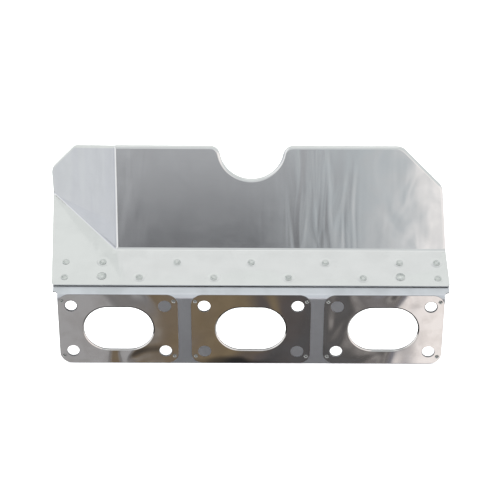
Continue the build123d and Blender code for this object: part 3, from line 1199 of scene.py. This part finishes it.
@dataclass
class Rivets:
    """Dished and button rivets of the strip, and the small flush ones of the plates."""

    row: PortRow
    stack: Stack
    folds: Folds
    rows: RivetRows
    finish: RolledSteel
    head: float = 4.9
    ring_width: float = 3.9
    rim_height: float = 0.3
    dish: float = 0.4
    wall: float = 0.2
    shank: float = 3.2
    tail: float = 4.4
    tail_height: float = 0.5
    button_head: float = 6.3
    button_height: float = 1.2
    button_edge: float = 0.2
    button_tail: float = 5.2
    button_tail_height: float = 0.6
    dome_points: int = 10
    small_head: float = 2.6
    small_shank: float = 1.5
    small_dimple: float = 0.22
    segments: int = 40

    @property
    def grip(self) -> float:
        """Thickness that the strip rivets hold."""
        return self.folds.sandwich + self.stack.carrier_gauge

    def build(self) -> None:
        """Makes every rivet."""
        material = self.finish.build()
        strip = self.folds.strip
        for number, (x, y) in enumerate(self.rows.dished, start=1):
            self._turn(f"strip_rivet_{number:02d}", strip, x, y, self._dished(), material)
        for number, (x, y) in enumerate(self.rows.buttons, start=1):
            self._turn(f"button_rivet_{number}", strip, x, y, self._button(), material)
        front = self.stack.facing(self.stack.plate_front)
        corners = [(-1, 1), (1, 1), (-1, -1), (1, -1)]
        for number, column in enumerate(self.row.columns, start=1):
            for corner, (side, level) in enumerate(corners, start=1):
                x, z = column + side * self.row.corner_x, level * self.row.corner_z
                name = f"plate_rivet_{number}_{corner}"
                self._turn(name, front, x, z, self._small(), material)

    def _dished(self) -> list[tuple[float, float]]:
        """Profile of a dished rivet, from the middle of its dish to the middle of its tail."""
        rim, ring_edge, throat = self.head / 2, self.ring_width / 2, self.shank / 2
        bottom = -self.grip
        return [
            (0, -self.dish),
            (throat - self.wall - 0.15, -self.dish),
            (throat - self.wall, -self.dish + 0.06),
            (throat - self.wall + 0.05, -0.05),
            (throat, 0.1),
            (ring_edge - 0.1, self.rim_height - 0.04),
            (ring_edge + 0.1, self.rim_height),
            (rim - 0.2, self.rim_height - 0.03),
            (rim - 0.05, self.rim_height - 0.12),
            (rim, 0.05),
            (rim - 0.05, -0.15),
            (throat, -0.2),
            (throat, bottom),
            (self.tail / 2 - 0.1, bottom),
            (self.tail / 2, bottom - 0.1),
            (self.tail / 2 - 0.1, bottom - self.tail_height + 0.1),
            (self.tail / 2 - 0.3, bottom - self.tail_height),
            (0, bottom - self.tail_height),
        ]

    def _button(self) -> list[tuple[float, float]]:
        """Profile of a button rivet, from the top of its dome to the middle of its tail."""
        reach, rise = self.button_head / 2, self.button_height - self.button_edge
        ball = (reach * reach + rise * rise) / (2 * rise)
        dome = []
        for step in range(self.dome_points):
            across = reach * step / (self.dome_points - 1)
            level = self.button_height - ball + math.sqrt(ball * ball - across * across)
            dome.append((across, level))
        throat, bottom, tail = self.shank / 2, -self.grip, self.button_tail / 2
        return dome + [
            (reach, 0.0),
            (reach - 0.05, -0.15),
            (throat, -0.2),
            (throat, bottom),
            (tail - 0.1, bottom),
            (tail, bottom - 0.1),
            (tail - 0.1, bottom - self.button_tail_height + 0.15),
            (tail - 0.4, bottom - self.button_tail_height),
            (0, bottom - self.button_tail_height),
        ]

    def _small(self) -> list[tuple[float, float]]:
        """Profile of a plate's corner rivet, flush in a countersink on both faces."""
        rim, throat, gauge = self.small_head / 2, self.small_shank / 2, self.stack.plate_gauge
        back = self.stack.plate_front
        return [
            (0, -0.04),
            (rim * 0.3, -0.06),
            (rim * 0.6, -self.small_dimple),
            (rim - 0.22, -self.small_dimple * 0.8),
            (rim - 0.1, -0.03),
            (rim, -0.02),
            (rim, -gauge * 0.7),
            (throat, -gauge),
            (throat, back + gauge),
            (rim, back + gauge * 0.7),
            (rim, back + 0.01),
            (rim - 0.12, back + 0.02),
            (rim * 0.5, back + self.small_dimple),
            (0, back + self.small_dimple),
        ]

    def _turn(
        self,
        name: str,
        sheet: Sheet,
        x: float,
        y: float,
        profile: list[tuple[float, float]],
        material: Any,
    ) -> None:
        """Turns a profile round its axis into a rivet.

        Args:
            name: Name of its CAD node.
            sheet: Place of the face that it is set in.
            x: Local X of its axis.
            y: Local Y of its axis.
            profile: Radius and height over the face of each point, in mm.
            material: Its finish.
        """
        bm = bmesh.new()
        middle = sheet.at(x, y) / MM
        side = Sheet(middle, sheet.across, -sheet.up)
        Wire(bm, side, *profile[0]).line(*profile[1:])
        bmesh.ops.spin(
            bm,
            geom=[*bm.verts, *bm.edges],
            cent=middle * MM,
            axis=sheet.normal,
            angle=math.tau,
            steps=self.segments,
            use_merge=True,
        )
        bmesh.ops.remove_doubles(bm, verts=bm.verts, dist=MERGE)
        bmesh.ops.recalc_face_normals(bm, faces=bm.faces)
        made = piece(name, bm, material)
        made.modifiers.new("flat faces stay flat", "WEIGHTED_NORMAL")


# ------------------------------------------------------------------ studio


@dataclass(frozen=True)
class Screen:
    """A lit or dark screen of the studio, as seen from the object.

    It fills the directions past a soft edge on one axis. Its shades run along the same or
    another axis. The edges of a bent one waver.
    """

    axis: str
    start: float
    end: float
    shades: Shades
    across: str = "X"
    bent: bool = False


@dataclass(frozen=True)
class Studio:
    """Pale floor, soft light all round and the camera."""

    floor_level: float = -28.75
    floor_size: float = 6000.0
    floor_glow: float = 0.55
    wall_height: float = 4000.0
    wall_glow: float = 1.0
    camera_place: tuple[float, float, float] = (-0.84, -1012.1, 670.7)
    camera_drop: float = 31.0
    camera_roll: float = 0.21
    lens: float = 126.78
    bend: float = 0.04
    bend_scale: float = 12.0
    wall_segments: int = 96
    paper: str = "F4F4F4"
    paper_roughness: float = 0.9
    lamp_size: tuple[float, float] = (2400.0, 1800.0)
    lamp_place: tuple[float, float, float] = (0.0, 400.0, 1900.0)
    lamp_watts: float = 60.0
    far_wall: Shades = (
        (-0.3, "2E2F31"),
        (-0.23, "4E4F52"),
        (-0.192, "5F6063"),
        (-0.164, "8E8F92"),
        (-0.132, "B5B6B9"),
        (-0.052, "CBCCCF"),
        (0.1, "DEDFE2"),
    )
    screens: tuple[Screen, ...] = (
        Screen("X", -0.062, -0.078, ((-0.19, "7A7B7E"), (-0.13, "BCBDC0")), across="Z", bent=True),
        Screen("X", 0.018, 0.06, ((0, "B6BCC0"),), bent=True),
        Screen("X", 0.088, 0.1, ((0, "FFFAF8"),), bent=True),
        Screen("X", -0.14, -0.2, (
            (-1.0, "CDCFD6"), (-0.75, "CDCFD6"), (-0.62, "FFFFFF"), (-0.31, "FFFFFF"),
            (-0.14, "77777A"),
        )),
        Screen("Z", -0.38, -0.44, (
            (-1, "2C2C2D"), (0.3, "2C2C2D"), (0.45, "5A5A5D"), (0.6, "D8DADA"),
        )),
        Screen("Z", -0.47, -0.5, (
            (-0.3, "2C2C2D"), (-0.15, "5E5E61"), (-0.12, "A6A6A8"), (-0.086, "9E9D9E"),
            (-0.08, "6E6D6E"), (-0.073, "8A8786"), (-0.066, "6E6864"), (-0.062, "908A82"),
            (-0.056, "74685A"), (-0.016, "7C6E58"), (0.006, "5A5453"), (0.034, "525254"),
            (0.05, "5E5D5E"), (0.058, "4C4A4A"), (0.063, "A09C9A"), (0.068, "605E5E"),
            (0.074, "848080"), (0.082, "72727A"), (0.09, "86868C"), (0.097, "FAF4F2"),
            (0.15, "FFFAF8"), (0.2, "2C2C2D"), (0.45, "2C2C2D"), (0.6, "D8DADA"),
        ), bent=True),
        Screen("Z", -0.575, -0.6, ((-0.3, "2C2C2D"), (0.4, "2C2C2D"), (0.6, "D8DADA")), bent=True),
        Screen("Z", 0.0, 0.35, (
            (-1, "E2E4EA"), (-0.9, "E2E4EA"), (-0.8, "FFFFFF"), (-0.6, "F6F7F8"),
            (-0.35, "DADDDD"), (1, "DADDDD"),
        )),
        Screen("Z", 0.92, 0.97, ((0, "F8F9F8"),)),
        Screen("Y", -0.05, 0.25, ((0, "E9ECEA"),)),
    )

    def build(self) -> None:
        """Makes the floor, the light and the camera."""
        bpy.context.scene.view_settings.view_transform = "Standard"
        self._floor()
        self._sky()
        self._lamp()
        self._camera()

    def _floor(self) -> None:
        """Lays the floor and stands a wall all round it, both bright enough to be plain white."""
        ground = bmesh.new()
        bmesh.ops.create_grid(ground, x_segments=1, y_segments=1, size=self.floor_size / 2 * MM)
        bmesh.ops.translate(ground, verts=ground.verts, vec=(0, 0, self.floor_level * MM))
        floor = self._paper("studio_floor", ground, self.floor_glow)
        floor.visible_glossy = False
        curtain, radius = bmesh.new(), self.floor_size / 2 * MM
        low = Matrix.Translation((0, 0, self.floor_level * MM))
        segments = self.wall_segments
        bmesh.ops.create_circle(curtain, segments=segments, radius=radius, matrix=low)
        top = extruded(curtain, list(curtain.edges))[1]
        bmesh.ops.translate(curtain, verts=top, vec=(0, 0, self.wall_height * MM))
        wall = self._paper("studio_wall", curtain, self.wall_glow)
        wall.visible_glossy = False
        wall.visible_diffuse = False
        wall.visible_shadow = False

    def _paper(self, name: str, bm: bmesh.types.BMesh, glow: float) -> bpy.types.Object:
        """Makes a piece of the studio from white backdrop paper.

        Args:
            name: Its name.
            bm: Its mesh. It is freed.
            glow: How much it glows of itself.

        Returns:
            The new object.
        """
        made = put(name, meshed(name, bm))
        paper, _, shader = started("white backdrop paper")
        shader.inputs["Base Color"].default_value = linear(self.paper)
        shader.inputs["Roughness"].default_value = self.paper_roughness
        shader.inputs["Emission Color"].default_value = linear("FFFFFF")
        shader.inputs["Emission Strength"].default_value = glow
        made.data.materials.append(paper)
        return made

    def _sky(self) -> None:
        """Paints the room that the metal mirrors: white above, dim low down in front."""
        world = bpy.data.worlds.new("soft studio")
        world.use_nodes = True
        bpy.context.scene.world = world
        tree = world.node_tree
        glow = tree.nodes["Background"]
        way = add(tree, "ShaderNodeTexCoord", {}).outputs["Generated"]
        axes = add(tree, "ShaderNodeSeparateXYZ", {"Vector": way}).outputs
        bent = self._bent(tree, way)
        seen = self._shaded(tree, axes["Z"], self.far_wall)
        for screen in self.screens:
            looked = bent if screen.bent else axes
            edge = {"Value": looked[screen.axis], "From Min": screen.start, "From Max": screen.end}
            eased = add(tree, "ShaderNodeMapRange", edge, interpolation_type="SMOOTHSTEP")
            shade = self._shaded(tree, looked[screen.across], screen.shades)
            laid = {0: eased.outputs[0], 6: seen, 7: shade}
            seen = add(tree, "ShaderNodeMix", laid, data_type="RGBA").outputs[2]
        tree.links.new(seen, glow.inputs["Color"])
        glow.inputs["Strength"].default_value = 1.0

    def _shaded(self, tree: bpy.types.NodeTree, place: Any, shades: Shades) -> Any:
        """Runs shades along a direction.

        Args:
            tree: The world's tree.
            place: How far along it is looked, from -1 to 1.
            shades: Place and colour of each shade.

        Returns:
            The one colour, or an output of the colours.
        """
        if len(shades) == 1:
            return linear(shades[0][1])
        start, end = shades[0][0], shades[-1][0]
        limits = {"Value": place, "From Min": start, "From Max": end}
        share = add(tree, "ShaderNodeMapRange", limits).outputs[0]
        spots = [((spot - start) / (end - start), colour) for spot, colour in shades]
        return stops(add(tree, "ShaderNodeValToRGB", {"Fac": share}), spots)

    def _bent(self, tree: bpy.types.NodeTree, way: Any) -> Any:
        """Bends the edges of what stands low in front, so that they don't run straight.

        Args:
            tree: The world's tree.
            way: Direction looked in.

        Returns:
            Outputs of the bent direction, by axis.
        """
        waves = {"Vector": way, "Scale": self.bend_scale, "Detail": 1.0}
        noise = add(tree, "ShaderNodeTexNoise", waves).outputs["Color"]
        middle = {0: noise, 1: (0.5, 0.5, 0.5)}
        centred = add(tree, "ShaderNodeVectorMath", middle, operation="SUBTRACT").outputs[0]
        shrunk = {0: centred, "Scale": self.bend}
        small = add(tree, "ShaderNodeVectorMath", shrunk, operation="SCALE").outputs[0]
        moved = add(tree, "ShaderNodeVectorMath", {0: way, 1: small}).outputs[0]
        return add(tree, "ShaderNodeSeparateXYZ", {"Vector": moved}).outputs

    def _lamp(self) -> None:
        """Hangs one wide soft lamp over the object."""
        light = bpy.data.lights.new("overhead softbox", "AREA")
        light.shape = "RECTANGLE"
        light.size, light.size_y = (side * MM for side in self.lamp_size)
        light.energy = self.lamp_watts
        lamp = put("overhead softbox", light)
        lamp.location = Vector(self.lamp_place) * MM
        lamp.visible_glossy = False

    def _camera(self) -> None:
        """Sets the camera in front of the row, looking down on it."""
        data = bpy.data.cameras.new("camera")
        data.lens = self.lens
        camera = put("camera", data)
        tilt = Matrix.Rotation(math.radians(90 - self.camera_drop), 4, "X")
        roll = Matrix.Rotation(math.radians(self.camera_roll), 4, "Z")
        place = Matrix.Translation(Vector(self.camera_place) * MM)
        camera.matrix_world = place @ tilt @ roll
        bpy.context.scene.camera = camera


# ------------------------------------------------------------------ assembly


def finishes() -> dict[str, RolledSteel]:
    """Sets the six metal finishes.

    Returns:
        Each finish by the name of what it is on.
    """
    return {
        # Stainless spring sheet as it leaves a matt pass: grey, with a close grain.
        "carrier": RolledSteel(
            name="matt rolled stainless sheet",
            colour="E2E5EB",
            dull_colour="D9DCE1",
            roughness=0.36,
            dull_roughness=0.42,
            anisotropy=0.3,
            grain_width=0.5,
            grain_height=0.01,
            buckles=(Buckle((60, 60, 60), 0.05),),
            smudge_size=18,
        ),
        # The same steel bright annealed: close to a mirror, with the buckles of thin sheet.
        "plate": RolledSteel(
            name="bright annealed stainless sheet",
            colour="F0EEEC",
            dull_colour="E9E6E3",
            roughness=0.03,
            dull_roughness=0.055,
            anisotropy=0.2,
            grain_width=0.4,
            grain_height=0.0005,
            buckles=(
                Buckle(
                    (40, 40, 46),
                    0.5,
                    swirl=1.2,
                    detail=0.4,
                    shift=24.1,
                    along=(
                        (-132, 0.1), (-112, 0.25), (-95, 1), (-62, 1), (-50, 0.6),
                        (50, 0.6), (62, 1), (98, 0.8), (112, 0.2), (132, 0.1),
                    ),
                ),
            ),
            smudge_size=12,
        ),
        # Steel dipped in aluminium and rolled again: pale and softly bright.
        "shield": RolledSteel(
            name="aluminium coated steel sheet",
            colour="EFF0F0",
            dull_colour="ECEDED",
            roughness=0.1,
            dull_roughness=0.13,
            anisotropy=0.2,
            grain_width=0.6,
            grain_height=0.002,
            buckles=(
                # Upright ripples beside the ridge and beside the notch.
                Buckle(
                    (9, 60, 60),
                    0.16,
                    shift=52.8,
                    along=(
                        (-96, 1), (-76, 0.8), (-68, 0.2), (20, 0.2), (30, 1), (66, 1), (76, 0.1),
                    ),
                ),
                # Shallow dents towards the cut corner.
                Buckle(
                    (26, 26, 30),
                    0.22,
                    shift=5.2,
                    along=((60, 0.1), (95, 0.4), (110, 1), (136, 1)),
                ),
            ),
            smudge_size=16,
        ),
        # The same coated sheet on the head side, a little duller.
        "back": RolledSteel(
            name="aluminium coated steel sheet, head side",
            colour="E6E8E8",
            dull_colour="DEE1E1",
            roughness=0.2,
            dull_roughness=0.28,
            anisotropy=0.2,
            grain_width=0.6,
            grain_height=0.002,
            buckles=(Buckle((15, 60, 60), 0.1),),
            smudge_size=20,
        ),
        # Edge that the press tool has cut through: torn, so rougher and a little duller than the
        # sheet; most of its dark grey is painted shade on the walls of the holes and the cut
        # edges.
        "cut_edge_and_shade": RolledSteel(
            name="cut steel edge, painted shade",
            colour="77777A",
            dull_colour="626265",
            roughness=0.5,
            dull_roughness=0.6,
            anisotropy=0.0,
            grain_width=0.2,
            grain_height=0.01,
            buckles=(Buckle((8, 8, 8), 0.02),),
            smudge_size=4,
        ),
        # Zinc plated steel, pressed: bright with soft edges.
        "rivet": RolledSteel(
            name="zinc plated steel",
            colour="E4E7E5",
            dull_colour="CED2D0",
            roughness=0.2,
            dull_roughness=0.3,
            anisotropy=0.0,
            grain_width=0.4,
            grain_height=0.002,
            buckles=(Buckle((5, 5, 5), 0.02),),
            smudge_size=3,
        ),
    }


def main() -> None:
    """Builds the gasket's finished pieces and the studio."""
    logging.basicConfig(level=logging.INFO, format="%(name)s: %(message)s")
    row, stack, folds, rows = PortRow(), Stack(), Folds(), RivetRows()
    finish = finishes()
    # The cut-edge finish is dark grey, mostly painted shade on hole walls and cut edges.
    cut_edge_and_shade = finish["cut_edge_and_shade"].build()
    Carrier(row, folds, finish["carrier"], cut_edge_and_shade).build()
    PortPlates(row, stack, finish["plate"], cut_edge_and_shade).build()
    HeatShield(folds, rows, finish["shield"], finish["back"], PressedFelt(), cut_edge_and_shade).build()
    Rivets(row, stack, folds, rows, finish["rivet"]).build()
    Studio().build()


if __name__ == "__main__":
    main()
